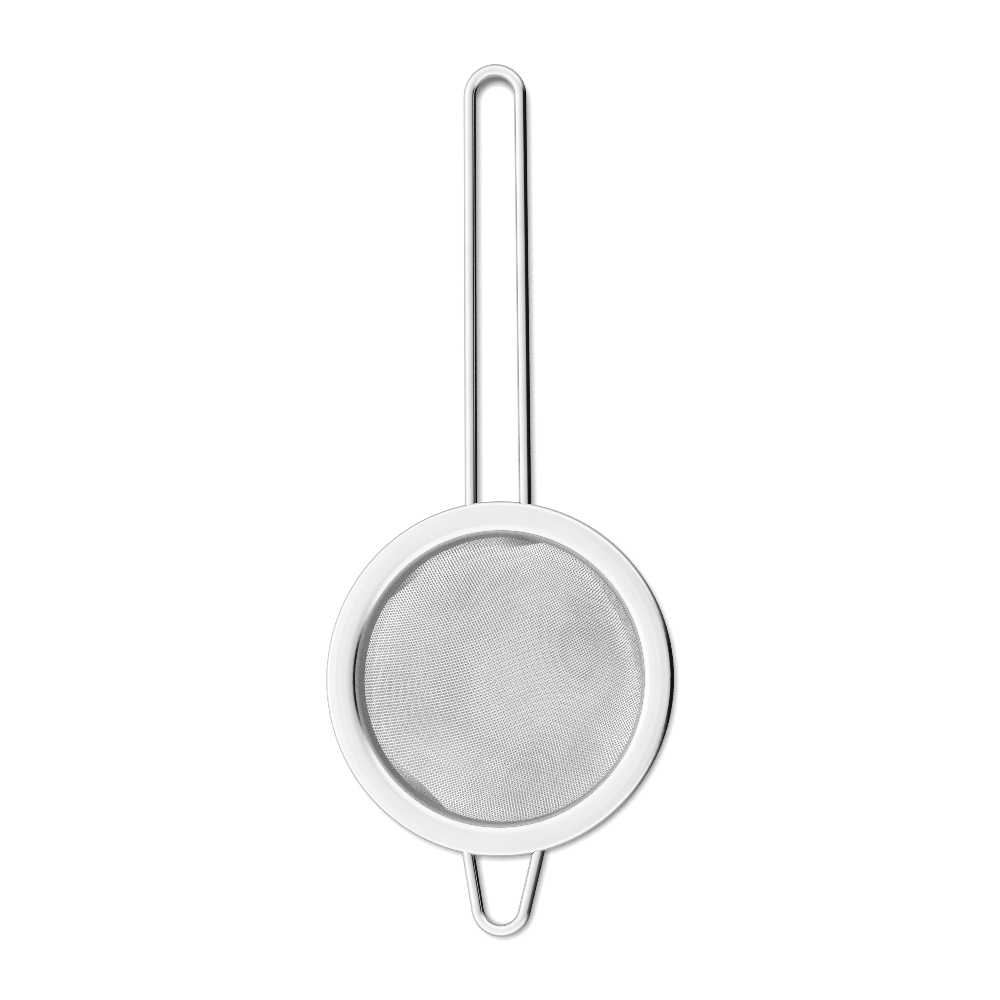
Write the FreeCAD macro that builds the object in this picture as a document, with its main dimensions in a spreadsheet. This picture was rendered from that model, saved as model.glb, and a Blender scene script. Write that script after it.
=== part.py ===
import FreeCAD, Part
import math
import os

import Sketcher

# A tea strainer: a polished rim ring, a bowl of woven steel cloth clamped behind the ring's
# collar, a long wire loop for a handle and a short wire loop that rests on a cup's far edge.
# +Z is up and the bowl hangs down. The origin is the centre of the bowl's mouth, level with the
# narrow flat crest of the rim. The handle points along +Y and the rest hook along -Y. Lengths are in
# millimetres and angles in degrees.

DIMENSIONS = {
    # the rim ring, stamped from one sheet, whose flange falls away both ways from a flat crest
    "rim_radius": 40.0,
    "rim_gauge": 0.5,
    "skirt_depth": 3.4,
    "skirt_corner": 1.1,
    "crest_inside": 36.0,
    "crest_outside": 37.6,
    "crest_to_skirt": 0.3,
    "crest_to_shoulder": 0.2,
    "hem_width": 1.2,
    "hem_corner": 0.9,
    "mouth_radius": 33.2,
    "shoulder_corner": 2.6,
    "collar_depth": 5.2,
    "collar_taper": 12.0,
    # the woven bowl, a skin as thick as two crossed wires
    "cloth_thickness": 0.4,
    "bowl_radius": 34.0,
    "bowl_slope": 44.0,
    # the band that traps the cloth's edge behind the collar
    "clamp_gauge": 0.5,
    "clamp_top": 2.3,
    "clamp_lip": 1.0,
    "clamp_corner": 0.8,
    "fit_gap": 0.03,
    # both bent wires, and how they sit under the rim
    "wire_radius": 1.4,
    "wire_gap": 0.05,
    "wire_start": 35.0,
    "wire_end_corner": 0.35,
    "notch_gap": 0.15,
    "notch_start": 37.1,
    # the handle's loop
    "handle_reach": 139.0,
    "handle_bend": 5.85,
    "handle_splay_left": 0.25,
    "handle_splay_right": 0.25,
    # the rest hook's loop, whose leg on the +X side leans out further than the other
    "hook_reach": 58.0,
    "hook_bend": 5.5,
    "hook_splay_left": 9.0,
    "hook_splay_right": 13.9,
    # the spot welds, in flats pressed into the tops of the wires
    "weld_depth": 0.25,
    "weld_width": 1.3,
    "weld_start": 35.3,
    "weld_end": 37.0,
    "flat_end": 37.5,
    "flat_reach": 15.0,
}

FULL_TURN = 360.0
NOTCH_LENGTH = 4.0  # past the outside of the skirt
TOLERANCE = 0.001

# heights of the wires' axis and of the flats on their tops, below the rim
WIRE_LEVEL = "-(dims.rim_gauge + dims.wire_gap + dims.wire_radius)"
FLAT_LEVEL = "-(dims.rim_gauge + dims.wire_gap + dims.weld_depth)"
TOWARDS = {"handle": 1, "hook": -1}  # along Y


def make_sheet(doc):
    sheet = doc.addObject("Spreadsheet::Sheet", "dims")
    for row, (alias, number) in enumerate(DIMENSIONS.items(), start=1):
        sheet.set(f"A{row}", alias)
        sheet.set(f"B{row}", str(number))
        sheet.setAlias(f"B{row}", alias)
    doc.recompute()


def number(owner, expression):
    """What an expression over the sheet comes to, as a plain number."""
    result = owner.evalExpression(expression)
    return float(getattr(result, "Value", result))


# ---- sketches ----


def add_sketch(body, name, plane, place=("0", "0", "0"), turn="0"):
    """A sketch on one of the body's own origin planes.

    The place is along that plane's own x, y and outward directions. The turn is about +Z, the
    strainer's axis, in either plane.
    """
    sketch = body.newObject("Sketcher::SketchObject", name)
    support = next(f for f in body.Origin.OriginFeatures if f.Role == plane)
    sketch.AttachmentSupport = [(support, "")]
    sketch.MapMode = "FlatFace"
    turn_axis = FreeCAD.Vector(0, 1, 0) if plane == "XZ_Plane" else FreeCAD.Vector(0, 0, 1)
    position = FreeCAD.Vector(*(number(sketch, p) for p in place))
    rotation = FreeCAD.Rotation(turn_axis, number(sketch, turn))
    sketch.AttachmentOffset = FreeCAD.Placement(position, rotation)
    for axis, expression in zip("xyz", place):
        if expression != "0":
            sketch.setExpression(f"AttachmentOffset.Base.{axis}", expression)
    if turn != "0":
        sketch.setExpression("AttachmentOffset.Rotation.Angle", turn)
    return sketch


def bind(sketch, constraint, name, expression):
    index = sketch.addConstraint(constraint)
    sketch.renameConstraint(index, name)
    sketch.setExpression(f"Constraints.{name}", expression)


def pin_point(sketch, edge, vertex, x, y, name):
    """Hold a point of an edge at a pair of expressions, measured from the sketch's origin."""
    for axis, expression, kind, own_axis in (("x", x, "DistanceX", -2), ("y", y, "DistanceY", -1)):
        if expression == "0":
            sketch.addConstraint(Sketcher.Constraint("PointOnObject", edge, vertex, own_axis))
        else:
            size = number(sketch, expression)
            constraint = Sketcher.Constraint(kind, -1, 1, edge, vertex, size)
            bind(sketch, constraint, f"{name}_{axis}", expression)


def draw_outline(sketch, corners, dome=None, first=""):
    """A closed outline through corners given as pairs of expressions.

    The edge numbered dome is an arc whose centre is on the sketch's vertical axis. It starts on
    that axis, at its lowest point, and runs to the right. Names of constraints begin with first.
    """
    points = [FreeCAD.Vector(number(sketch, x), number(sketch, y), 0) for x, y in corners]
    edges = []
    for index, start in enumerate(points):
        end = points[(index + 1) % len(points)]
        shape = Part.LineSegment(start, end)
        if index == dome:
            rise = end.y - start.y
            radius = (end.x**2 + rise**2) / (2 * rise)
            centre = FreeCAD.Vector(0, start.y + radius, 0)
            circle = Part.Circle(centre, FreeCAD.Vector(0, 0, 1), radius)
            shape = Part.ArcOfCircle(circle, circle.parameter(start), circle.parameter(end))
        edges.append(sketch.addGeometry(shape, False))
    for index, edge in enumerate(edges):
        following = edges[(index + 1) % len(edges)]
        sketch.addConstraint(Sketcher.Constraint("Coincident", edge, 2, following, 1))
        pin_point(sketch, edge, 1, *corners[index], f"{first}corner{index}")
    if dome is not None:
        sketch.addConstraint(Sketcher.Constraint("PointOnObject", edges[dome], 3, -2))


# ---- features ----


def add_feature(body, kind, name, profile, **settings):
    feature = body.newObject(kind, name)
    feature.Profile = profile
    for key, setting in settings.items():
        setattr(feature, key, setting)
    return feature


def revolve(body, name, sketch, kind="PartDesign::Revolution"):
    axis = (sketch, ["V_Axis"])
    return add_feature(body, kind, name, sketch, ReferenceAxis=axis, Angle=FULL_TURN)


def round_rings(body, corners):
    """Round circular edges about the axis, each given by its radius and height, by expressions."""
    for name, radius, height, corner in corners:
        base = body.Tip
        base.Document.recompute()
        wanted = (number(base, radius), number(base, height))
        names = [
            f"Edge{index}"
            for index, edge in enumerate(base.Shape.Edges, start=1)
            if isinstance(edge.Curve, Part.Circle)
            and abs(edge.Curve.Radius - wanted[0]) < TOLERANCE
            and abs(edge.Curve.Center.z - wanted[1]) < TOLERANCE
        ]
        fillet = body.newObject("PartDesign::Fillet", name)
        fillet.Base = (base, names)
        fillet.Radius = number(base, corner)
        fillet.setExpression("Radius", corner)


# ---- the collar's line, which the cloth and the clamp ring follow ----


def collar_line(height, offset="0"):
    """Radius, at a height, of a cone that lies an offset outside the collar's visible face."""
    taper = "dims.collar_taper"
    return f"(dims.mouth_radius + ({offset}) / cos({taper}) + ({height}) * tan({taper}))"


def make_rim_ring(doc):
    body = doc.addObject("PartDesign::Body", "rim_ring")
    gauge = "dims.rim_gauge"
    skirt_foot = "-dims.skirt_depth"
    skirt_inside = f"dims.rim_radius - {gauge}"
    hem_inside = f"{skirt_foot} + {gauge}"
    hem_end = "dims.rim_radius - dims.hem_width"
    collar_foot = "-dims.collar_depth"
    below = f"-{gauge}"
    skirt_top = "-dims.crest_to_skirt"
    shoulder = "-dims.crest_to_shoulder"
    section = add_sketch(body, "rim_section", "XZ_Plane")
    draw_outline(
        section,
        [
            (hem_end, skirt_foot),
            ("dims.rim_radius", skirt_foot),
            ("dims.rim_radius", skirt_top),
            ("dims.crest_outside", "0"),
            ("dims.crest_inside", "0"),
            (collar_line(shoulder), shoulder),
            (collar_line(collar_foot), collar_foot),
            (collar_line(collar_foot, gauge), collar_foot),
            (collar_line(below, gauge), below),
            (skirt_inside, below),
            (skirt_inside, hem_inside),
            (hem_end, hem_inside),
        ],
    )
    revolve(body, "stamped_ring", section)
    round_rings(
        body,
        [
            ("skirt_corner_outside", "dims.rim_radius", skirt_top, "dims.skirt_corner"),
            ("skirt_corner_inside", skirt_inside, below, f"dims.skirt_corner - {gauge}"),
            ("shoulder_outside", collar_line(shoulder), shoulder, "dims.shoulder_corner"),
            ("shoulder_inside", collar_line(below, gauge), below, f"dims.shoulder_corner - {gauge}"),
            ("hem_outside", "dims.rim_radius", skirt_foot, "dims.hem_corner"),
            ("hem_inside", skirt_inside, hem_inside, f"dims.hem_corner - {gauge}"),
        ],
    )
    for loop in TOWARDS:
        for side in (1, -1):
            cut_notch(body, loop, side)
    return body


def cut_notch(body, loop, side):
    """Cut the slot, open at the bottom, through which one leg of a loop enters the skirt."""
    towards = TOWARDS[loop]
    across, along = leg_point(loop, side, "dims.notch_start")
    turn = f"{side * towards} * {leg_splay(loop, side)} + {0 if towards > 0 else 180}"
    place = (f"{side} * {across}", WIRE_LEVEL, f"{-towards} * {along}")
    name = f"{loop}_notch_{'right' if side > 0 else 'left'}"
    sketch = add_sketch(body, f"{name}_outline", "XZ_Plane", place, turn)
    half_width = "dims.wire_radius + dims.notch_gap"
    radius = number(sketch, half_width)
    foot = f"{WIRE_LEVEL} * -1 - dims.skirt_depth - dims.wire_radius"
    depth = number(sketch, foot)
    centre = FreeCAD.Vector(0, 0, 0)
    circle = Part.Circle(centre, FreeCAD.Vector(0, 0, 1), radius)
    right_top = FreeCAD.Vector(radius, 0, 0)
    left_top = FreeCAD.Vector(-radius, 0, 0)
    right_foot = FreeCAD.Vector(radius, depth, 0)
    left_foot = FreeCAD.Vector(-radius, depth, 0)
    arch = sketch.addGeometry(Part.ArcOfCircle(circle, 0, circle.parameter(left_top)), False)
    left = sketch.addGeometry(Part.LineSegment(left_top, left_foot), False)
    base = sketch.addGeometry(Part.LineSegment(left_foot, right_foot), False)
    right = sketch.addGeometry(Part.LineSegment(right_foot, right_top), False)
    ring = (arch, left, base, right)
    for edge, following in zip(ring, ring[1:] + ring[:1]):
        sketch.addConstraint(Sketcher.Constraint("Coincident", edge, 2, following, 1))
    sketch.addConstraint(Sketcher.Constraint("Coincident", arch, 3, -1, 1))
    sketch.addConstraint(Sketcher.Constraint("Vertical", left))
    sketch.addConstraint(Sketcher.Constraint("Vertical", right))
    sketch.addConstraint(Sketcher.Constraint("Horizontal", base))
    sketch.addConstraint(Sketcher.Constraint("PointOnObject", arch, 1, -1))
    bind(sketch, Sketcher.Constraint("Radius", arch, radius), "half_width", half_width)
    bind(sketch, Sketcher.Constraint("DistanceY", -1, 1, base, 1, depth), "foot", foot)
    add_feature(body, "PartDesign::Pocket", name, sketch, Length=NOTCH_LENGTH)


def bowl_corners(offset):
    """One face of the cloth, an offset outside its inner face, from the pole up to its edge.

    The cloth stands in the clamp, turns in under the collar, runs down as a cone and closes in
    a dome that is tangent to the cone.
    """
    taper, slope = "dims.collar_taper", "dims.bowl_slope"
    inner = "dims.rim_gauge + dims.fit_gap"
    bend_level = "-(dims.collar_depth + dims.fit_gap)"
    shift = f"({offset}) / (1 + sin({taper} + {slope}))"
    bend = (
        f"{collar_line(bend_level, inner)} + {shift} * (cos({taper}) + sin({slope}))",
        f"{bend_level} - {shift} * (sin({taper}) + cos({slope}))",
    )
    cone_drop = (
        f"({collar_line(bend_level, inner)} - dims.bowl_radius * sin({slope})) * tan({slope})"
    )
    centre = f"({bend_level} - {cone_drop} + dims.bowl_radius * cos({slope}))"
    radius = f"(dims.bowl_radius + {offset})"
    top = "-dims.clamp_top"
    return [
        ("0", f"{centre} - {radius}"),
        (f"{radius} * sin({slope})", f"{centre} - {radius} * cos({slope})"),
        bend,
        (collar_line(top, f"{inner} + {offset}"), top),
        ("0", top),
    ]


def make_mesh_bowl(doc):
    body = doc.addObject("PartDesign::Body", "mesh_bowl")
    outside = add_sketch(body, "outer_face", "XZ_Plane")
    draw_outline(outside, bowl_corners("dims.cloth_thickness"), dome=0)
    revolve(body, "bowl", outside)
    inside = add_sketch(body, "inner_face", "XZ_Plane")
    draw_outline(inside, bowl_corners("0"), dome=0)
    revolve(body, "hollow", inside, "PartDesign::Groove")
    return body


def make_clamp_ring(doc):
    body = doc.addObject("PartDesign::Body", "clamp_ring")
    inner = "dims.rim_gauge + dims.cloth_thickness + 2 * dims.fit_gap"
    outer = f"{inner} + dims.clamp_gauge"
    top, foot = "-dims.clamp_top", "-dims.collar_depth"
    lip_top = f"{foot} + dims.clamp_gauge"
    lip_end = f"{collar_line(foot, outer)} + dims.clamp_lip"
    section = add_sketch(body, "clamp_section", "XZ_Plane")
    draw_outline(
        section,
        [
            (collar_line(foot, inner), foot),
            (lip_end, foot),
            (lip_end, lip_top),
            (collar_line(lip_top, outer), lip_top),
            (collar_line(top, outer), top),
            (collar_line(top, inner), top),
        ],
    )
    revolve(body, "band", section)
    round_rings(
        body,
        [
            ("lip_outside", collar_line(foot, inner), foot, "dims.clamp_corner"),
            ("lip_inside", collar_line(lip_top, outer), lip_top, "dims.clamp_corner - dims.clamp_gauge"),
        ],
    )
    return body


# ---- the bent wires: each is drawn towards +Y, and the hook's body is then turned about Z ----


def leg_splay(loop, side):
    """How far a leg leans out from Y. The side is that of the finished strainer, 1 for +X."""
    return f"dims.{loop}_splay_{'right' if side > 0 else 'left'}"


def leg_point(loop, side, along):
    """How far a leg's axis is from the YZ plane, at a distance along Y from the strainer's axis."""
    splay = leg_splay(loop, side)
    across = f"(dims.{loop}_bend / cos({splay}) + ({bend_centre(loop)} - {along}) * tan({splay}))"
    return across, f"({along})"


def bend_centre(loop):
    return f"(dims.{loop}_reach - dims.wire_radius - dims.{loop}_bend)"


def turn_to_place(body, loop):
    angle = 90 * (1 - TOWARDS[loop])
    rotation = FreeCAD.Rotation(FreeCAD.Vector(0, 0, 1), angle)
    body.Placement = FreeCAD.Placement(FreeCAD.Vector(0, 0, 0), rotation)


def make_loop(doc, loop, label):
    body = doc.addObject("PartDesign::Body", label)
    bend, centre = f"dims.{loop}_bend", bend_centre(loop)
    route = add_sketch(body, f"{loop}_route", "XY_Plane", ("0", "0", WIRE_LEVEL))
    radius, middle = number(route, bend), number(route, centre)
    feet, touches, places = {}, {}, {}
    for drawn_side in (1, -1):
        side = drawn_side * TOWARDS[loop]
        across, start = leg_point(loop, side, "dims.wire_start")
        places[drawn_side] = (f"{drawn_side} * {across}", start)
        lean = math.radians(number(route, leg_splay(loop, side)))
        feet[drawn_side] = FreeCAD.Vector(*(number(route, e) for e in places[drawn_side]), 0)
        touches[drawn_side] = FreeCAD.Vector(
            drawn_side * radius * math.cos(lean), middle + radius * math.sin(lean), 0
        )
    circle = Part.Circle(FreeCAD.Vector(0, middle, 0), FreeCAD.Vector(0, 0, 1), radius)
    ends = (circle.parameter(touches[1]), circle.parameter(touches[-1]))
    right = route.addGeometry(Part.LineSegment(feet[1], touches[1]), False)
    bow = route.addGeometry(Part.ArcOfCircle(circle, *ends), False)
    left = route.addGeometry(Part.LineSegment(touches[-1], feet[-1]), False)
    route.addConstraint(Sketcher.Constraint("Tangent", right, 2, bow, 1))
    route.addConstraint(Sketcher.Constraint("Tangent", bow, 2, left, 1))
    route.addConstraint(Sketcher.Constraint("PointOnObject", bow, 3, -2))
    bind(route, Sketcher.Constraint("DistanceY", -1, 1, bow, 3, middle), "bend_centre", centre)
    bind(route, Sketcher.Constraint("Radius", bow, radius), "bend_radius", bend)
    pin_point(route, right, 1, *places[1], "right_foot")
    pin_point(route, left, 2, *places[-1], "left_foot")
    across, start = places[1]
    splay = leg_splay(loop, TOWARDS[loop])
    place = (across, WIRE_LEVEL, f"-1 * {start}")
    section = add_sketch(body, f"{loop}_wire_section", "XZ_Plane", place, splay)
    wire_radius = number(section, "dims.wire_radius")
    disc = Part.Circle(FreeCAD.Vector(0, 0, 0), FreeCAD.Vector(0, 0, 1), wire_radius)
    ring = section.addGeometry(disc, False)
    section.addConstraint(Sketcher.Constraint("Coincident", ring, 3, -1, 1))
    size = Sketcher.Constraint("Radius", ring, wire_radius)
    bind(section, size, "wire_radius", "dims.wire_radius")
    doc.recompute()
    spine = (route, [])
    add_feature(body, "PartDesign::AdditivePipe", f"{loop}_bent_wire", section, Spine=spine)
    round_wire_ends(body, loop)
    press_flats(body, loop)
    turn_to_place(body, loop)
    return body


def round_wire_ends(body, loop):
    base = body.Tip
    base.Document.recompute()
    radius = number(base, "dims.wire_radius")
    start = number(base, "dims.wire_start")
    names = [
        f"Edge{index}"
        for index, edge in enumerate(base.Shape.Edges, start=1)
        if isinstance(edge.Curve, Part.Circle)
        and abs(edge.Curve.Radius - radius) < TOLERANCE
        and abs(edge.Curve.Center.y - start) < TOLERANCE
    ]
    fillet = body.newObject("PartDesign::Fillet", f"{loop}_wire_ends")
    fillet.Base = (base, names)
    fillet.Radius = number(base, "dims.wire_end_corner")
    fillet.setExpression("Radius", "dims.wire_end_corner")


def press_flats(body, loop):
    """Flatten the tops of both legs where they are welded under the flange."""
    sketch = add_sketch(body, f"{loop}_flats_outline", "XY_Plane", ("0", "0", FLAT_LEVEL))
    back, front = "dims.wire_start - dims.wire_radius", "dims.flat_end"
    right, left = "dims.flat_reach", "-dims.flat_reach"
    draw_outline(sketch, [(right, back), (right, front), (left, front), (left, back)])
    flats = add_feature(body, "PartDesign::Pocket", f"{loop}_flats", sketch, Reversed=True)
    flats.Length = number(sketch, "dims.wire_radius")
    flats.setExpression("Length", "dims.wire_radius")


def make_spot_welds(doc, loop, label):
    """Both welds of a loop, each a pad that fills the gap between a flat and the flange."""
    body = doc.addObject("PartDesign::Body", label)
    body.AllowCompound = True
    sketch = add_sketch(body, f"{loop}_weld_outlines", "XY_Plane", ("0", "0", FLAT_LEVEL))
    half = "dims.weld_width / 2"
    for drawn_side in (1, -1):
        side = drawn_side * TOWARDS[loop]
        near_x, near_y = leg_point(loop, side, "dims.weld_start")
        far_x, far_y = leg_point(loop, side, "dims.weld_end")
        outline = [
            (f"{drawn_side} * ({near_x} - {half})", near_y),
            (f"{drawn_side} * ({near_x} + {half})", near_y),
            (f"{drawn_side} * ({far_x} + {half})", far_y),
            (f"{drawn_side} * ({far_x} - {half})", far_y),
        ]
        draw_outline(sketch, outline, first="right_" if drawn_side > 0 else "left_")
    pads = add_feature(body, "PartDesign::Pad", f"{loop}_weld_pads", sketch)
    thickness = "dims.weld_depth + dims.wire_gap"
    pads.Length = number(sketch, thickness)
    pads.setExpression("Length", thickness)
    turn_to_place(body, loop)
    return body


def check_document(doc):
    for item in doc.Objects:
        if "Invalid" in item.State or "Error" in item.State:
            raise RuntimeError(f"{item.Name} is {item.State}")


def write_part(body):
    shape = body.Shape
    if shape.isNull() or not shape.isValid():
        raise RuntimeError(f"{body.Label} has no valid shape")
    shape.exportStep(f"parts/{body.Label}.step")
    box = shape.BoundBox
    size = f"{box.XLength:.2f} x {box.YLength:.2f} x {box.ZLength:.2f}"
    print(f"{body.Label}: {len(shape.Solids)} solids, {shape.Volume:.2f} mm3, {size}, "
          f"z {box.ZMin:.2f} to {box.ZMax:.2f}")


def main():
    os.makedirs("parts", exist_ok=True)
    doc = FreeCAD.newDocument("tea_strainer")
    make_sheet(doc)
    pieces = [
        make_rim_ring(doc),
        make_clamp_ring(doc),
        make_mesh_bowl(doc),
        make_loop(doc, "handle", "handle_wire"),
        make_loop(doc, "hook", "rest_hook_wire"),
        make_spot_welds(doc, "handle", "handle_spot_welds"),
        make_spot_welds(doc, "hook", "hook_spot_welds"),
    ]
    doc.recompute()
    check_document(doc)
    for piece in pieces:
        write_part(piece)


main()
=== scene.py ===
import math

import bpy
import numpy as np
from mathutils import Matrix, Vector


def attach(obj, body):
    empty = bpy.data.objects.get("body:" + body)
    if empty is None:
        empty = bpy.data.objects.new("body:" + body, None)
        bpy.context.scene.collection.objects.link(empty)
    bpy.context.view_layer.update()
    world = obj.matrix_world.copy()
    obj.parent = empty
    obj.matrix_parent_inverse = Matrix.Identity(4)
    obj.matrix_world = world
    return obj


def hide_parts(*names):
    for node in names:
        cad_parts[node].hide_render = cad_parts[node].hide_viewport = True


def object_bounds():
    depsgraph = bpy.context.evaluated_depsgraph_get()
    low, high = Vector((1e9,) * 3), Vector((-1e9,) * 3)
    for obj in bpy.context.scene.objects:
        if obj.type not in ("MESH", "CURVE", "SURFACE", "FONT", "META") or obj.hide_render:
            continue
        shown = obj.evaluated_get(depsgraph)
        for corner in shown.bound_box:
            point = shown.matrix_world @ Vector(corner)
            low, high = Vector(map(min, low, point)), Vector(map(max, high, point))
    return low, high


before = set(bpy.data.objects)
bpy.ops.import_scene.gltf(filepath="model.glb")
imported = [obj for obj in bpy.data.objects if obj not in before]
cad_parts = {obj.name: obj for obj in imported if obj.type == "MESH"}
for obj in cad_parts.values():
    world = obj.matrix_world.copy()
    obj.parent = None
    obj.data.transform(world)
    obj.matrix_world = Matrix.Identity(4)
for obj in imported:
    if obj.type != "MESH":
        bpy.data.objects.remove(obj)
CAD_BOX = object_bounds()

# A tea strainer lying over a pale floor, seen almost straight from above. The polished rim,
# clamp ring and wires are the frame's own pieces. The cloth is woven here, wire by wire, over
# the same bowl. Lengths are in metres, and +Z is up.

MM = 0.001
ROOT = "root"

# ---- the bowl's shape, as the frame has it ----

DOME_RADIUS = 34.2 * MM  # of the cloth's middle surface
BOWL_SLOPE = math.radians(44.0)
COLLAR_TAPER = math.radians(12.0)
MOUTH_RADIUS = 33.2 * MM
COLLAR_DEPTH = 5.2 * MM
COLLAR_TO_CLOTH = 0.73 * MM  # from the collar's visible face to the middle of the cloth
HALF_SKIN = 0.2 * MM  # half the thickness of the skin that stands for the cloth in the frame
FIT_GAP = 0.03 * MM
BEND_RADIUS = 0.7 * MM
CLOTH_TOP = -2.5 * MM  # where the wires end, out of sight behind the collar
PROFILE_STEP = 0.02 * MM  # between points of the table of the cloth's middle line

# ---- the cloth's weave ----

CLOTH_PITCH = 0.635 * MM
CLOTH_WIRE_RADIUS = 0.148 * MM
CLOTH_TURN = math.radians(21.0)  # from +X to the first set of wires
CLOTH_SAG = 0.0085 / MM  # curvature of the wires that run across
WAVER_AZIMUTH = math.radians(22.0)  # where the wires waver from side to side
WAVER_SPREAD = math.radians(22.0)
WAVER_FROM = 20.0 * MM  # how far from the axis it starts
WAVER_LENGTH = 7.0 * MM
WAVER_SIZE = 0.42 * MM
CRIMP = 0.4  # how far a wire rises and dips at the crossings, as a share of its radius
PROUD = 0.5  # how far the wires that run down the slope stand above the ones they cross
STRETCHED = 0.46  # how much thinner the wires that run round the slope are, and the others thicker
TUBE_SIDES = 6
SPARE_WIRES = 10  # past the cloth's edge, for where the sag draws the net inwards
SOLVER_STEPS = 8  # of Newton's method, to find each crossing

# Pleats: azimuth and half width in degrees, how far in from the collar, and how deep
PLEATS = (
    (95.7, 22.8, 4.4 * MM, 1.1 * MM),
    (227.5, 17.5, 3.2 * MM, 1.3 * MM),
    (130.0, 14.0, 1.6 * MM, 1.3 * MM),
    (329.0, 13.0, 4.0 * MM, 1.6 * MM),
    (24.0, 44.0, 6.5 * MM, 1.5 * MM),
)
PLEAT_FADE = 5.0 * MM
PUCKERS = (  # waves round the bowl, their size and their phase
    (7, 0.12 * MM, 0.4),
    (11, 0.09 * MM, 2.1),
    (17, 0.07 * MM, 5.0),
)
PUCKER_FADE = 7.0 * MM
PUCKER_START = 2.0 * MM
FALL_REACH, FALL_DEPTH, FALL_FADE = 2.8 * MM, 0.4 * MM, 4.0 * MM
HELD = 0.6 * MM  # next to the collar, where the cloth keeps to its plain shape
NARROWEST_CREASE = 0.3 * MM

# Painted shade on the steep sides of the folds: the azimuth they face in degrees, how far their
# straight crease lies from the axis, and along the crease where the painted shade starts and how
# softly (its sign is the way)
FOLD_SHADE_LINES = (
    (227.5, 30.7 * MM, -3.0 * MM, 6.0 * MM),
    (95.7, 29.6 * MM, 4.0 * MM, -3.0 * MM),
    (130.0, 31.1 * MM, 1.0 * MM, 4.0 * MM),
)
FOLD_SHADE_EDGE = 0.12 * MM

# Painted light and shade on the cloth: darker towards the middle and brighter towards the collar,
# over which radii, and from and to what share
PAINTED_LIGHT_OVER = (4.0 * MM, 30.0 * MM)
PAINTED_LIGHT_SHARES = (0.86, 1.12)

# ---- the collar's finish, and the shade painted inside it ----

# Inside the collar the sheet turns satin, and its colour is painted dark there to stand for the shade
# in the recess.
SATIN_AND_SHADE_FROM, SATIN_AND_SHADE_TO = 1.2 * MM, 2.4 * MM  # depths between which the collar turns dull
SATIN_AND_SHADE_INSIDE = (1.6 * MM, 1.2 * MM)  # past the mouth's radius, where the dulling starts and is whole
BUFFED_AROUND, BUFFED_ACROSS = 3.0, 4000.0  # how fine the buffing lines are along and across them
ROLLED_AROUND, ROLLED_ACROSS = 6.0, 9000.0


# ---- node materials ----


class Nodes:
    """A short way to build a material's node tree."""

    def __init__(self, name):
        self.material = bpy.data.materials.new(name)
        self.material.use_nodes = True
        self.tree = self.material.node_tree
        self.shader = self.tree.nodes["Principled BSDF"]

    def add(self, kind, **settings):
        node = self.tree.nodes.new(kind)
        for key, setting in settings.items():
            if key in node.inputs:
                node.inputs[key].default_value = setting
            else:
                setattr(node, key, setting)
        return node

    def join(self, source, output, target, socket):
        self.tree.links.new(source.outputs[output], target.inputs[socket])

    def ramp(self, source, output, stops):
        node = self.add("ShaderNodeValToRGB")
        elements = node.color_ramp.elements
        while len(elements) < len(stops):
            elements.new(0.5)
        for element, (position, level) in zip(elements, stops):
            element.position = position
            colour = level if isinstance(level, tuple) else (level, level, level)
            element.color = (*colour, 1.0)
        self.join(source, output, node, "Fac")
        return node

    def set(self, **settings):
        for key, setting in settings.items():
            self.shader.inputs[key.replace("_", " ")].default_value = setting


def polar_coordinates(nodes, around, across):
    """Texture coordinates that run round the strainer's axis: angle, radius and height, scaled."""
    place = nodes.add("ShaderNodeTexCoord")
    split = nodes.add("ShaderNodeSeparateXYZ")
    nodes.join(place, "Object", split, "Vector")
    angle = nodes.add("ShaderNodeMath", operation="ARCTAN2")
    nodes.join(split, "Y", angle, 0)
    nodes.join(split, "X", angle, 1)
    flat = nodes.add("ShaderNodeCombineXYZ")
    nodes.join(split, "X", flat, "X")
    nodes.join(split, "Y", flat, "Y")
    radius = nodes.add("ShaderNodeVectorMath", operation="LENGTH")
    nodes.join(flat, "Vector", radius, 0)
    angle_scaled = nodes.add("ShaderNodeMath", operation="MULTIPLY")
    nodes.join(angle, "Value", angle_scaled, 0)
    angle_scaled.inputs[1].default_value = around
    radius_scaled = nodes.add("ShaderNodeMath", operation="MULTIPLY")
    nodes.join(radius, "Value", radius_scaled, 0)
    radius_scaled.inputs[1].default_value = across
    height_scaled = nodes.add("ShaderNodeMath", operation="MULTIPLY")
    nodes.join(split, "Z", height_scaled, 0)
    height_scaled.inputs[1].default_value = across
    joined = nodes.add("ShaderNodeCombineXYZ")
    nodes.join(angle_scaled, "Value", joined, "X")
    nodes.join(radius_scaled, "Value", joined, "Y")
    nodes.join(height_scaled, "Value", joined, "Z")
    return joined


def collar_satin_and_shade_mask(nodes, polar):
    """One low inside the collar, where the sheet turns satin and its colour is painted dark as shade,
    and zero elsewhere.
    """
    split = nodes.add("ShaderNodeSeparateXYZ")
    nodes.join(polar, "Vector", split, "Vector")
    starts, whole = (MOUTH_RADIUS + past for past in SATIN_AND_SHADE_INSIDE)
    inside = nodes.add("ShaderNodeMapRange")
    nodes.join(split, "Y", inside, "Value")
    inside.inputs["From Min"].default_value = starts * BUFFED_ACROSS
    inside.inputs["From Max"].default_value = whole * BUFFED_ACROSS
    deep = nodes.add("ShaderNodeMapRange")
    nodes.join(split, "Z", deep, "Value")
    deep.inputs["From Min"].default_value = -SATIN_AND_SHADE_FROM * BUFFED_ACROSS
    deep.inputs["From Max"].default_value = -SATIN_AND_SHADE_TO * BUFFED_ACROSS
    nodes.join(inside, "Result", deep, "To Max")
    return deep


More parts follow.
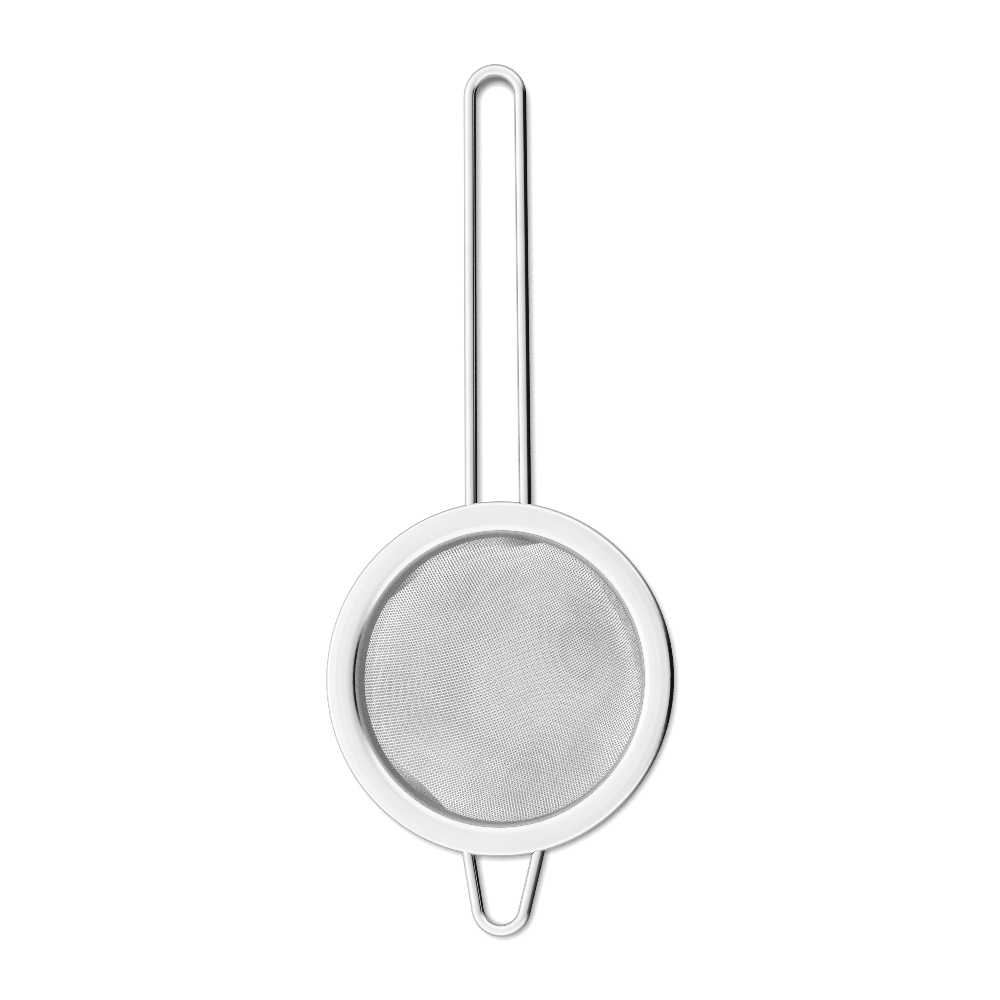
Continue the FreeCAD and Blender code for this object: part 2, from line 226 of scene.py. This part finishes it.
def polished_sheet():
    """Stamped stainless sheet, buffed round and round, but satin inside the collar, where shade is
    painted into its colour.
    """
    nodes = Nodes("polished_sheet")
    nodes.set(Metallic=1.0)
    polar = polar_coordinates(nodes, BUFFED_AROUND, BUFFED_ACROSS)
    lines = nodes.add("ShaderNodeTexNoise", Scale=1.0, Detail=3.0, Roughness=0.6)
    nodes.join(polar, "Vector", lines, "Vector")
    smears = nodes.add("ShaderNodeTexNoise", Scale=90.0, Detail=4.0, Roughness=0.55)
    place = nodes.add("ShaderNodeTexCoord")
    nodes.join(place, "Object", smears, "Vector")
    bright = nodes.ramp(smears, "Fac", [(0.3, (0.8, 0.8, 0.797)), (0.7, (0.83, 0.83, 0.827))])
    # Painted shade: the dark colour that the collar's inside gets.
    painted_shade = nodes.ramp(lines, "Fac", [(0.3, (0.2, 0.2, 0.198)), (0.7, (0.3, 0.3, 0.297))])
    collar = collar_satin_and_shade_mask(nodes, polar)
    colour = nodes.add("ShaderNodeMix", data_type="RGBA")
    nodes.join(collar, "Result", colour, "Factor")
    nodes.join(bright, "Color", colour, "A")
    nodes.join(painted_shade, "Color", colour, "B")
    nodes.join(colour, "Result", nodes.shader, "Base Color")
    smooth = nodes.ramp(smears, "Fac", [(0.35, 0.05), (0.7, 0.08)])
    satin = nodes.ramp(lines, "Fac", [(0.3, 0.2), (0.7, 0.32)])
    rough = nodes.add("ShaderNodeMix", data_type="RGBA")
    nodes.join(collar, "Result", rough, "Factor")
    nodes.join(smooth, "Color", rough, "A")
    nodes.join(satin, "Color", rough, "B")
    nodes.join(rough, "Result", nodes.shader, "Roughness")
    bump = nodes.add("ShaderNodeBump", Strength=0.03, Distance=0.02 * MM)
    nodes.join(lines, "Fac", bump, "Height")
    nodes.join(bump, "Normal", nodes.shader, "Normal")
    return nodes.material


def polished_wire():
    """Drawn stainless wire, buffed along its length."""
    nodes = Nodes("polished_wire")
    nodes.set(Metallic=1.0)
    place = nodes.add("ShaderNodeTexCoord")
    stretch = nodes.add("ShaderNodeMapping")
    stretch.inputs["Scale"].default_value = (3500.0, 60.0, 3500.0)
    nodes.join(place, "Object", stretch, "Vector")
    lines = nodes.add("ShaderNodeTexNoise", Scale=1.0, Detail=2.0)
    nodes.join(stretch, "Vector", lines, "Vector")
    smears = nodes.add("ShaderNodeTexNoise", Scale=120.0, Detail=3.0)
    nodes.join(place, "Object", smears, "Vector")
    colour = nodes.ramp(smears, "Fac", [(0.3, (0.77, 0.77, 0.765)), (0.7, (0.83, 0.83, 0.825))])
    nodes.join(colour, "Color", nodes.shader, "Base Color")
    rough = nodes.ramp(smears, "Fac", [(0.35, 0.06), (0.7, 0.11)])
    nodes.join(rough, "Color", nodes.shader, "Roughness")
    bump = nodes.add("ShaderNodeBump", Strength=0.05, Distance=0.02 * MM)
    nodes.join(lines, "Fac", bump, "Height")
    nodes.join(bump, "Normal", nodes.shader, "Normal")
    return nodes.material


def satin_band():
    """The clamp ring's sheet, left as rolled."""
    nodes = Nodes("satin_band")
    nodes.set(Metallic=1.0)
    lines = nodes.add("ShaderNodeTexNoise", Scale=1.0, Detail=4.0, Roughness=0.7)
    polar = polar_coordinates(nodes, ROLLED_AROUND, ROLLED_ACROSS)
    nodes.join(polar, "Vector", lines, "Vector")
    colour = nodes.ramp(lines, "Fac", [(0.3, (0.58, 0.58, 0.57)), (0.7, (0.7, 0.7, 0.69))])
    nodes.join(colour, "Color", nodes.shader, "Base Color")
    rough = nodes.ramp(lines, "Fac", [(0.3, 0.24), (0.7, 0.38)])
    nodes.join(rough, "Color", nodes.shader, "Roughness")
    bump = nodes.add("ShaderNodeBump", Strength=0.2, Distance=0.02 * MM)
    nodes.join(lines, "Fac", bump, "Height")
    nodes.join(bump, "Normal", nodes.shader, "Normal")
    return nodes.material


def past_line(nodes, place, azimuth, distance, blur):
    """One past a straight line that lies this far from the axis, square to an azimuth."""
    reach = nodes.add("ShaderNodeVectorMath", operation="DOT_PRODUCT")
    nodes.join(place, "Object", reach, 0)
    reach.inputs[1].default_value = (math.cos(azimuth), math.sin(azimuth), 0.0)
    past = nodes.add("ShaderNodeMapRange")
    nodes.join(reach, "Value", past, "Value")
    past.inputs["From Min"].default_value = distance - blur
    past.inputs["From Max"].default_value = distance + blur
    return past


def painted_fold_shade_mask(nodes, place):
    """One on the steep side of a fold, where shade is painted into the colour, and zero elsewhere."""
    worst = None
    for towards, distance, fades_from, fades_over in FOLD_SHADE_LINES:
        azimuth = math.radians(towards)
        outside = past_line(nodes, place, azimuth, distance, FOLD_SHADE_EDGE)
        sideways = azimuth + math.copysign(math.pi / 2, fades_over)
        along = past_line(nodes, place, sideways, fades_from, abs(fades_over))
        nodes.join(along, "Result", outside, "To Max")
        if worst is None:
            worst = (outside, "Result")
            continue
        both = nodes.add("ShaderNodeMath", operation="MAXIMUM")
        nodes.join(*worst, both, 0)
        nodes.join(outside, "Result", both, 1)
        worst = (both, "Value")
    return worst


def cloth_wire():
    """Fine satin wire of the woven cloth, with painted shade in the middle and on the steep sides of
    the folds, and painted light towards the collar.
    """
    nodes = Nodes("cloth_wire")
    nodes.set(Metallic=0.65)
    place = nodes.add("ShaderNodeTexCoord")
    patches = nodes.add("ShaderNodeTexNoise", Scale=160.0, Detail=5.0, Roughness=0.6)
    nodes.join(place, "Object", patches, "Vector")
    bright = nodes.ramp(patches, "Fac", [(0.3, (0.38, 0.38, 0.377)), (0.7, (0.44, 0.44, 0.436))])
    # Painted shade for the steep sides of the folds.
    painted_shade = nodes.ramp(patches, "Fac", [(0.3, (0.12, 0.12, 0.119)), (0.7, (0.2, 0.2, 0.198))])
    colour = nodes.add("ShaderNodeMix", data_type="RGBA")
    nodes.join(*painted_fold_shade_mask(nodes, place), colour, "Factor")
    nodes.join(bright, "Color", colour, "A")
    nodes.join(painted_shade, "Color", colour, "B")
    split = nodes.add("ShaderNodeSeparateXYZ")
    nodes.join(polar_coordinates(nodes, 1.0, 1.0), "Vector", split, "Vector")
    # Painted shade in the middle and painted light towards the collar, by radius.
    painted_light_ramp = nodes.add("ShaderNodeMapRange")
    nodes.join(split, "Y", painted_light_ramp, "Value")
    limits = zip(("From Min", "From Max", "To Min", "To Max"), PAINTED_LIGHT_OVER + PAINTED_LIGHT_SHARES)
    for socket, limit in limits:
        painted_light_ramp.inputs[socket].default_value = limit
    painted_light_applied = nodes.add("ShaderNodeMix", data_type="RGBA", blend_type="MULTIPLY")
    painted_light_applied.inputs["Factor"].default_value = 1.0
    nodes.join(colour, "Result", painted_light_applied, "A")
    nodes.join(painted_light_ramp, "Result", painted_light_applied, "B")
    nodes.join(painted_light_applied, "Result", nodes.shader, "Base Color")
    rough = nodes.ramp(patches, "Fac", [(0.3, 0.22), (0.7, 0.32)])
    nodes.join(rough, "Color", nodes.shader, "Roughness")
    return nodes.material


def weld_metal():
    """Spot weld, dull and tinted by its heat."""
    nodes = Nodes("weld_metal")
    nodes.set(Metallic=1.0)
    place = nodes.add("ShaderNodeTexCoord")
    grain = nodes.add("ShaderNodeTexNoise", Scale=1500.0, Detail=5.0)
    nodes.join(place, "Object", grain, "Vector")
    colour = nodes.ramp(grain, "Fac", [(0.3, (0.36, 0.3, 0.24)), (0.7, (0.55, 0.52, 0.5))])
    nodes.join(colour, "Color", nodes.shader, "Base Color")
    rough = nodes.ramp(grain, "Fac", [(0.3, 0.4), (0.7, 0.65)])
    nodes.join(rough, "Color", nodes.shader, "Roughness")
    bump = nodes.add("ShaderNodeBump", Strength=0.5, Distance=0.05 * MM)
    nodes.join(grain, "Fac", bump, "Height")
    nodes.join(bump, "Normal", nodes.shader, "Normal")
    return nodes.material


def dress(node, material):
    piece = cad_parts[node]
    piece.data.materials.clear()
    piece.data.materials.append(material)


# ---- the woven cloth ----


def bowl_levels():
    """Radius and height of the cloth's tangent point and bend, and the dome's centre height."""
    inner_offset = COLLAR_TO_CLOTH - HALF_SKIN
    bend_height = -(COLLAR_DEPTH + FIT_GAP)
    inner_bend = (
        MOUTH_RADIUS
        + inner_offset / math.cos(COLLAR_TAPER)
        + bend_height * math.tan(COLLAR_TAPER)
    )
    inner_dome = DOME_RADIUS - HALF_SKIN
    inner_touch = inner_dome * math.sin(BOWL_SLOPE)
    centre = (
        bend_height
        - (inner_bend - inner_touch) * math.tan(BOWL_SLOPE)
        + inner_dome * math.cos(BOWL_SLOPE)
    )
    touch = (DOME_RADIUS * math.sin(BOWL_SLOPE), centre - DOME_RADIUS * math.cos(BOWL_SLOPE))
    return centre, touch


DOME_CENTRE, TOUCH = bowl_levels()


def dome_and_cone(x, y):
    """Height of the bowl's middle surface, and its slope outwards, the cone carried on."""
    r = np.hypot(x, y)
    on_dome = r < TOUCH[0]
    inside = np.minimum(r, TOUCH[0])
    root = np.sqrt(DOME_RADIUS**2 - inside**2)
    height = np.where(
        on_dome, DOME_CENTRE - root, TOUCH[1] + (r - TOUCH[0]) * math.tan(BOWL_SLOPE)
    )
    slope = np.where(on_dome, inside / root, math.tan(BOWL_SLOPE))
    return height, slope


def woven_net(count):
    """Crossings of one quarter of the cloth, drawn over the bowl without stretching a wire.

    Each crossing is one pitch from the crossing before it on both of its wires, so the mesh
    shears between the two main wires just as pressed cloth does.
    """
    net = np.zeros((count, count, 3))
    dome_arc = DOME_RADIUS * BOWL_SLOPE
    along = np.arange(count) * CLOTH_PITCH
    angle = np.minimum(along, dome_arc) / DOME_RADIUS
    past = np.maximum(along - dome_arc, 0.0)
    radius = DOME_RADIUS * np.sin(angle) + past * math.cos(BOWL_SLOPE)
    height = DOME_CENTRE - DOME_RADIUS * np.cos(angle) + past * math.sin(BOWL_SLOPE)
    net[:, 0] = np.stack([radius, 0 * radius, height], -1)
    net[0, :] = np.stack([0 * radius, radius, height], -1)
    for total in range(2, 2 * count - 1):
        rows = np.arange(max(1, total - count + 1), min(count, total))
        columns = total - rows
        before, beside = net[rows - 1, columns], net[rows, columns - 1]
        guess = (before + beside - net[rows - 1, columns - 1])[:, :2]
        x, y = guess[:, 0].copy(), guess[:, 1].copy()
        for _ in range(SOLVER_STEPS):
            z, slope = dome_and_cone(x, y)
            r = np.maximum(np.hypot(x, y), 1e-9)
            zx, zy = slope * x / r, slope * y / r
            point = np.stack([x, y, z], -1)
            to_a, to_b = point - before, point - beside
            miss_a = (to_a**2).sum(-1) - CLOTH_PITCH**2
            miss_b = (to_b**2).sum(-1) - CLOTH_PITCH**2
            ax = 2 * (to_a[:, 0] + to_a[:, 2] * zx)
            ay = 2 * (to_a[:, 1] + to_a[:, 2] * zy)
            bx = 2 * (to_b[:, 0] + to_b[:, 2] * zx)
            by = 2 * (to_b[:, 1] + to_b[:, 2] * zy)
            det = ax * by - ay * bx
            det = np.where(np.abs(det) < 1e-12, 1e-12, det)
            x = x - (miss_a * by - miss_b * ay) / det
            y = y - (miss_b * ax - miss_a * bx) / det
        z, _ = dome_and_cone(x, y)
        net[rows, columns] = np.stack([x, y, z], -1)
    return net


def whole_net(quarter):
    """The four quarters together: index 0 is one edge and the middle row is a main wire.

    The wires that run across it sag towards the hook, and those at the right waver from side to
    side.
    """
    count = len(quarter)
    signs = np.arange(-(count - 1), count)
    rows, columns = np.meshgrid(signs, signs, indexing="ij")
    net = quarter[np.abs(rows), np.abs(columns)].copy()
    net[..., 0] *= np.where(rows < 0, -1, 1)
    net[..., 1] *= np.where(columns < 0, -1, 1)
    cos, sin = math.cos(CLOTH_TURN), math.sin(CLOTH_TURN)
    x, y = net[..., 0].copy(), net[..., 1].copy()
    net[..., 0] = cos * x - sin * y
    net[..., 1] = sin * x + cos * y + CLOTH_SAG * net[..., 0] ** 2 / 2
    r = np.hypot(net[..., 0], net[..., 1])
    azimuth = np.arctan2(net[..., 1], net[..., 0])
    near = np.exp(-(((azimuth - WAVER_AZIMUTH) / WAVER_SPREAD) ** 2))
    near *= np.clip((r - WAVER_FROM) / WAVER_LENGTH, 0, 1)
    aside = WAVER_SIZE * near * np.sin(2 * math.pi * r / WAVER_LENGTH)
    net[..., 0] -= np.sin(azimuth) * aside
    net[..., 1] += np.cos(azimuth) * aside
    return net


def bowl_profile():
    """Fine table of the cloth's middle line: arc length, radius, height and slope angle."""
    band = math.pi / 2 - COLLAR_TAPER
    turn = band - BOWL_SLOPE
    band_radius = MOUTH_RADIUS + COLLAR_TO_CLOTH / math.cos(COLLAR_TAPER)
    # where the cone's line and the band's line cross
    tan_taper, tan_slope = math.tan(COLLAR_TAPER), math.tan(BOWL_SLOPE)
    cross_z = (TOUCH[1] + (band_radius - TOUCH[0]) * tan_slope) / (1 - tan_taper * tan_slope)
    cross_r = band_radius + cross_z * tan_taper
    cone_length = (cross_r - TOUCH[0]) / math.cos(BOWL_SLOPE)
    cut = BEND_RADIUS * math.tan(turn / 2)
    band_length = (CLOTH_TOP - cross_z) / math.cos(COLLAR_TAPER)
    dome_arc = DOME_RADIUS * BOWL_SLOPE
    runs = [
        (dome_arc, BOWL_SLOPE / dome_arc),
        (cone_length - cut, 0.0),
        (BEND_RADIUS * turn, 1 / BEND_RADIUS),
        (band_length - cut, 0.0),
    ]
    arc, r, z, angle = [0.0], [0.0], [DOME_CENTRE - DOME_RADIUS], [0.0]
    for length, curvature in runs:
        pieces = max(1, round(length / PROFILE_STEP))
        part = length / pieces
        for _ in range(pieces):
            middle = angle[-1] + curvature * part / 2
            arc.append(arc[-1] + part)
            r.append(r[-1] + part * math.cos(middle))
            z.append(z[-1] + part * math.sin(middle))
            angle.append(angle[-1] + curvature * part)
    return tuple(np.array(column) for column in (arc, r, z, angle))


PROFILE = bowl_profile()
FOOT_ARC = float(np.interp(-COLLAR_DEPTH, PROFILE[2], PROFILE[0]))



def shape_offset(arc, azimuth):
    """How far the cloth stands inwards of its plain bowl: pleats and puckers near the collar.

    It first falls steeply from the collar and then turns in, with a crease where it turns. The
    pleats fall further than the rest.
    """
    from_foot = FOOT_ARC - arc
    hold = np.clip(from_foot / HELD, 0, 1)
    fade = np.exp(-((np.maximum(from_foot, 0) / PUCKER_FADE) ** 2))
    fade *= np.clip(from_foot / PUCKER_START, 0, 1)
    offset = -FALL_DEPTH * crease(from_foot, FALL_REACH, FALL_FADE) * hold
    for waves, size, phase in PUCKERS:
        offset += fade * size * np.sin(waves * azimuth + phase)
    for centre, half_width, reach, depth in PLEATS:
        away = (azimuth - math.radians(centre) + math.pi) % (2 * math.pi) - math.pi
        t = np.clip(np.abs(away) / math.radians(half_width), 0, 1)
        crown = 1 - t**2
        chord = np.maximum(reach * crown, NARROWEST_CREASE)
        offset -= crown * depth * crease(from_foot, chord, PLEAT_FADE) * hold
    return offset


def crease(from_foot, reach, fade):
    """A fold's section: straight down to its reach from the collar, then a curve that fades."""
    down = np.clip(from_foot / reach, 0, 1)
    past = np.maximum(from_foot - reach, 0) / fade
    return np.where(from_foot < reach, down, np.exp(-past))


def on_bowl(points):
    """Moves points of the dome and cone onto the real profile, with their inward normals."""
    x, y = points[..., 0], points[..., 1]
    r = np.hypot(x, y)
    azimuth = np.arctan2(y, x)
    dome_arc = DOME_RADIUS * BOWL_SLOPE
    arc = np.where(
        r < TOUCH[0],
        DOME_RADIUS * np.arcsin(np.minimum(r, TOUCH[0]) / DOME_RADIUS),
        dome_arc + (r - TOUCH[0]) / math.cos(BOWL_SLOPE),
    )
    radius = np.interp(arc, PROFILE[0], PROFILE[1])
    height = np.interp(arc, PROFILE[0], PROFILE[2])
    slope = np.interp(arc, PROFILE[0], PROFILE[3])
    out = np.stack([np.cos(azimuth), np.sin(azimuth), 0 * azimuth], -1)
    normal = -np.sin(slope)[..., None] * out
    normal[..., 2] += np.cos(slope)
    place = out * radius[..., None]
    place[..., 2] = height
    place += normal * shape_offset(arc, azimuth)[..., None]
    return place, normal, arc



def tube_mesh(name, runs, material):
    """One mesh of many round wires, each given as points, normals and a radius at every point."""
    corners, faces = [], []
    start = 0
    around = np.arange(TUBE_SIDES) * 2 * math.pi / TUBE_SIDES
    for points, normals, radii in runs:
        forward = np.gradient(points, axis=0)
        forward /= np.linalg.norm(forward, axis=1, keepdims=True)
        side = np.cross(forward, normals)
        side /= np.linalg.norm(side, axis=1, keepdims=True)
        up = np.cross(side, forward)
        outward = np.cos(around)[None, :, None] * side[:, None]
        outward = outward + np.sin(around)[None, :, None] * up[:, None]
        ring = points[:, None] + radii[:, None, None] * outward
        count = len(points)
        corners.append(ring.reshape(-1, 3))
        lower = start + np.arange(count - 1)[:, None] * TUBE_SIDES + np.arange(TUBE_SIDES)[None]
        following = start + np.arange(count - 1)[:, None] * TUBE_SIDES
        following = following + (np.arange(TUBE_SIDES)[None] + 1) % TUBE_SIDES
        quads = np.stack([lower, following, following + TUBE_SIDES, lower + TUBE_SIDES], -1)
        faces.extend(quads.reshape(-1, 4).tolist())
        faces.append(list(range(start, start + TUBE_SIDES))[::-1])
        last = start + (count - 1) * TUBE_SIDES
        faces.append(list(range(last, last + TUBE_SIDES)))
        start += count * TUBE_SIDES
    mesh = bpy.data.meshes.new(name)
    mesh.from_pydata(np.concatenate(corners).tolist(), [], faces)
    mesh.shade_smooth()
    mesh.materials.append(material)
    piece = bpy.data.objects.new(name, mesh)
    bpy.context.scene.collection.objects.link(piece)
    return piece


def down_the_slope(path):
    """One where a wire runs straight down the bowl's side, minus one where it runs round it."""
    flat = path[:, :2]
    forward = np.gradient(flat, axis=0)
    forward /= np.linalg.norm(forward, axis=1, keepdims=True)
    r = np.maximum(np.hypot(flat[:, 0], flat[:, 1]), 1e-9)
    along = (forward * flat).sum(axis=1) / r
    return (2 * along**2 - 1) * np.clip(r / TOUCH[0], 0, 1)


def cloth_wires(net, family):
    """Every wire of one family as points, normals and radii, over and under at the crossings."""
    grid = net if family == 0 else net.transpose(1, 0, 2)
    count = len(grid)
    lift_sign = 1 if family == 0 else -1
    runs = []
    for column in range(count):
        line = grid[:, column]
        halfway = (line[1:] + line[:-1]) / 2
        path = np.empty((2 * count - 1, 3))
        path[0::2], path[1::2] = line, halfway
        lift = np.zeros(2 * count - 1)
        lift[0::2] = lift_sign * np.where((np.arange(count) + column) % 2 == 0, 1.0, -1.0)
        place, normal, arc = on_bowl(path)
        downward = down_the_slope(path)
        lift = CRIMP * lift + PROUD * downward
        place = place + normal * (lift * CLOTH_WIRE_RADIUS)[:, None]
        thickness = CLOTH_WIRE_RADIUS * (1 + STRETCHED * downward)
        kept = np.flatnonzero(arc < PROFILE[0][-1])
        if len(kept) > 3:
            run = slice(kept[0], kept[-1] + 1)
            runs.append((place[run], normal[run], thickness[run]))
    return runs


def weave_cloth(material):
    reach = int(PROFILE[0][-1] / CLOTH_PITCH) + SPARE_WIRES
    net = whole_net(woven_net(reach))
    pieces = []
    for family, name in enumerate(("warp", "weft")):
        runs = cloth_wires(net, family)
        half = len(runs) // 2
        for part, wires in (("a", runs[:half]), ("b", runs[half:])):
            label = f"mesh_{name}_wires_{part}"
            piece = tube_mesh(label, wires, material)
            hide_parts("mesh_bowl")
            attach(piece, ROOT)
            pieces.append(piece)
    return pieces


# ---- the stage: floor, lights and camera ----

FLOOR_GAP = 1.7 * MM  # under the bowl, so that no light goes straight through to a bright spot
FLOOR_REACH = 2.4  # from the axis to each side of the floor
FLOOR_SHADE = (0.22, 0.22, 0.22, 1.0)
KEY_PLACE = (0.6, 0.02, 3.0)
KEY_TARGET = (0, 0.04, 0)
KEY_SIZE = (0.26, 0.26)
KEY_POWER = 405.0


def make_floor(level):
    mesh = bpy.data.meshes.new("floor")
    s = FLOOR_REACH
    corners = [(-s, -s, level), (s, -s, level), (s, s, level), (-s, s, level)]
    mesh.from_pydata(corners, [], [(0, 1, 2, 3)])
    floor = bpy.data.objects.new("floor", mesh)
    bpy.context.scene.collection.objects.link(floor)
    nodes = Nodes("pale_floor")
    nodes.set(Base_Color=FLOOR_SHADE, Roughness=0.9)
    mesh.materials.append(nodes.material)
    floor.visible_glossy = False  # the metal shows the tent instead, down to its foot
    return floor


def area_light(name, place, target, size, power):
    light = bpy.data.lights.new(name, "AREA")
    light.shape = "RECTANGLE"
    light.size, light.size_y = size
    light.energy = power
    lamp = bpy.data.objects.new(name, light)
    lamp.location = place
    lamp.rotation_euler = (Vector(target) - Vector(place)).to_track_quat("-Z", "Y").to_euler()
    bpy.context.scene.collection.objects.link(lamp)
    return lamp


# The tent as the metal sees it: white overhead and at the left, light grey low down, and a black
# card standing at the right, which draws the dark lines on everything polished.
CARD_TOWARDS = math.radians(120.0)  # the card's middle, from straight up towards +X
CARD_SHADES = (  # cosine of the angle from the card's middle, and brightness
    (-1.0, 1.1),
    (-0.85, 0.99),
    (-0.57, 0.88),
    (-0.3, 0.79),
    (0.0, 0.66),
    (0.28, 0.6),
    (0.48, 0.42),
    (0.56, 0.15),
    (0.63, 0.015),
    (1.0, 0.01),
)
END_WALLS = (0.2, 0.7)  # how far a direction points along Y, from the sides to the end walls
END_SHADES = ((-1.0, 0.45), (-0.2, 0.5), (0.0, 0.85), (0.2, 1.02))
LOW_SHADES = ((-1.0, 0.7), (-0.3, 0.75), (0.15, 0.9), (0.4, 1.0))  # height of a direction, brightness
FILL = 0.9  # the tent's even share of the light that reaches the floor
TENT_PEAK = 1.12  # brightest patch of the tent, seen in the metal


def make_world():
    """A pale tent round the strainer, with a black card at +X that only the metal shows."""
    world = bpy.data.worlds.new("studio")
    bpy.context.scene.world = world
    world.use_nodes = True
    tree = world.node_tree

    def add(kind, **settings):
        node = tree.nodes.new(kind)
        for key, setting in settings.items():
            setattr(node, key, setting)
        return node

    def shades(source, output, lowest, stops):
        spread = add("ShaderNodeMapRange")
        spread.inputs["From Min"].default_value = lowest
        tree.links.new(source.outputs[output], spread.inputs["Value"])
        ramp = add("ShaderNodeValToRGB")
        elements = ramp.color_ramp.elements
        while len(elements) < len(stops):
            elements.new(0.5)
        for element, (cosine, level) in zip(elements, stops):
            element.position = (cosine - lowest) / (1 - lowest)
            element.color = (level, level, level, 1)
        tree.links.new(spread.outputs["Result"], ramp.inputs["Fac"])
        return ramp

    place = add("ShaderNodeTexCoord")
    split = add("ShaderNodeSeparateXYZ")
    tree.links.new(place.outputs["Generated"], split.inputs["Vector"])
    card = add("ShaderNodeVectorMath", operation="DOT_PRODUCT")
    tree.links.new(place.outputs["Generated"], card.inputs[0])
    card.inputs[1].default_value = (math.sin(CARD_TOWARDS), 0, math.cos(CARD_TOWARDS))
    sides = add("ShaderNodeMix", data_type="RGBA", blend_type="MULTIPLY")
    sides.inputs["Factor"].default_value = 1.0
    tree.links.new(shades(card, "Value", -1.0, CARD_SHADES).outputs["Color"], sides.inputs["A"])
    tree.links.new(shades(split, "Z", -1.0, LOW_SHADES).outputs["Color"], sides.inputs["B"])
    along = add("ShaderNodeMath", operation="ABSOLUTE")
    tree.links.new(split.outputs["Y"], along.inputs[0])
    ends = add("ShaderNodeMapRange", interpolation_type="SMOOTHSTEP")
    tree.links.new(along.outputs["Value"], ends.inputs["Value"])
    ends.inputs["From Min"].default_value, ends.inputs["From Max"].default_value = END_WALLS
    seen = add("ShaderNodeMix", data_type="RGBA")
    tree.links.new(ends.outputs["Result"], seen.inputs["Factor"])
    tree.links.new(sides.outputs["Result"], seen.inputs["A"])
    tree.links.new(shades(split, "Z", -1.0, END_SHADES).outputs["Color"], seen.inputs["B"])
    path = add("ShaderNodeLightPath")
    tent = add("ShaderNodeBackground")
    tree.links.new(seen.outputs["Result"], tent.inputs["Color"])
    tent.inputs["Strength"].default_value = TENT_PEAK
    glow = add("ShaderNodeBackground")
    glow.inputs["Color"].default_value = (1, 1, 1, 1)
    glow.inputs["Strength"].default_value = FILL
    white = add("ShaderNodeBackground")
    white.inputs["Color"].default_value = (1, 1, 1, 1)
    matt = add("ShaderNodeMixShader")
    tree.links.new(path.outputs["Is Glossy Ray"], matt.inputs["Fac"])
    tree.links.new(glow.outputs["Background"], matt.inputs[1])
    tree.links.new(tent.outputs["Background"], matt.inputs[2])
    whole = add("ShaderNodeMixShader")
    tree.links.new(path.outputs["Is Camera Ray"], whole.inputs["Fac"])
    tree.links.new(matt.outputs["Shader"], whole.inputs[1])
    tree.links.new(white.outputs["Background"], whole.inputs[2])
    tree.links.new(whole.outputs["Shader"], tree.nodes["World Output"].inputs["Surface"])


CAMERA_DISTANCE = 1.5
CAMERA_TILT = math.radians(13.07)  # from straight above
CAMERA_AZIMUTH = math.radians(-12.3)  # the side it leans to, from +X
CAMERA_ROLL = math.radians(-0.44)
CAMERA_TARGET = Vector((0.9 * MM, 40.2 * MM, 0.0))
VIEW_WIDTH = 225.1 * MM  # at the target
SENSOR = 36.0  # width in millimetres, the same unit as the lens


def make_camera():
    towards = Vector((
        math.sin(CAMERA_TILT) * math.cos(CAMERA_AZIMUTH),
        math.sin(CAMERA_TILT) * math.sin(CAMERA_AZIMUTH),
        math.cos(CAMERA_TILT),
    ))
    up = Vector((0, 1, 0))
    up = (up - up.dot(towards) * towards).normalized()
    right = up.cross(towards)
    cos, sin = math.cos(CAMERA_ROLL), math.sin(CAMERA_ROLL)
    rolled_right = cos * right + sin * up
    rolled_up = cos * up - sin * right
    data = bpy.data.cameras.new("camera")
    data.sensor_width = SENSOR
    data.lens = SENSOR * CAMERA_DISTANCE / VIEW_WIDTH
    data.clip_end = 20.0
    camera = bpy.data.objects.new("camera", data)
    rotation = Matrix((rolled_right, rolled_up, towards)).transposed().to_4x4()
    camera.matrix_world = Matrix.Translation(CAMERA_TARGET + CAMERA_DISTANCE * towards) @ rotation
    bpy.context.scene.collection.objects.link(camera)
    bpy.context.scene.camera = camera


make_camera()
sheet = polished_sheet()
wire = polished_wire()
weld = weld_metal()
dress("rim_ring", sheet)
dress("clamp_ring", satin_band())
dress("handle_wire", wire)
dress("rest_hook_wire", wire)
dress("handle_spot_welds", weld)
dress("hook_spot_welds", weld)
weave_cloth(cloth_wire())

floor_level = CAD_BOX[0][2] - FLOOR_GAP
make_floor(floor_level)
make_world()
key = area_light("key", KEY_PLACE, KEY_TARGET, KEY_SIZE, KEY_POWER)
key.visible_glossy = False

cycles = bpy.context.scene.cycles
cycles.use_denoising = False  # it smears the weave
cycles.filter_width = 0.8

bpy.context.scene.view_settings.view_transform = "Standard"
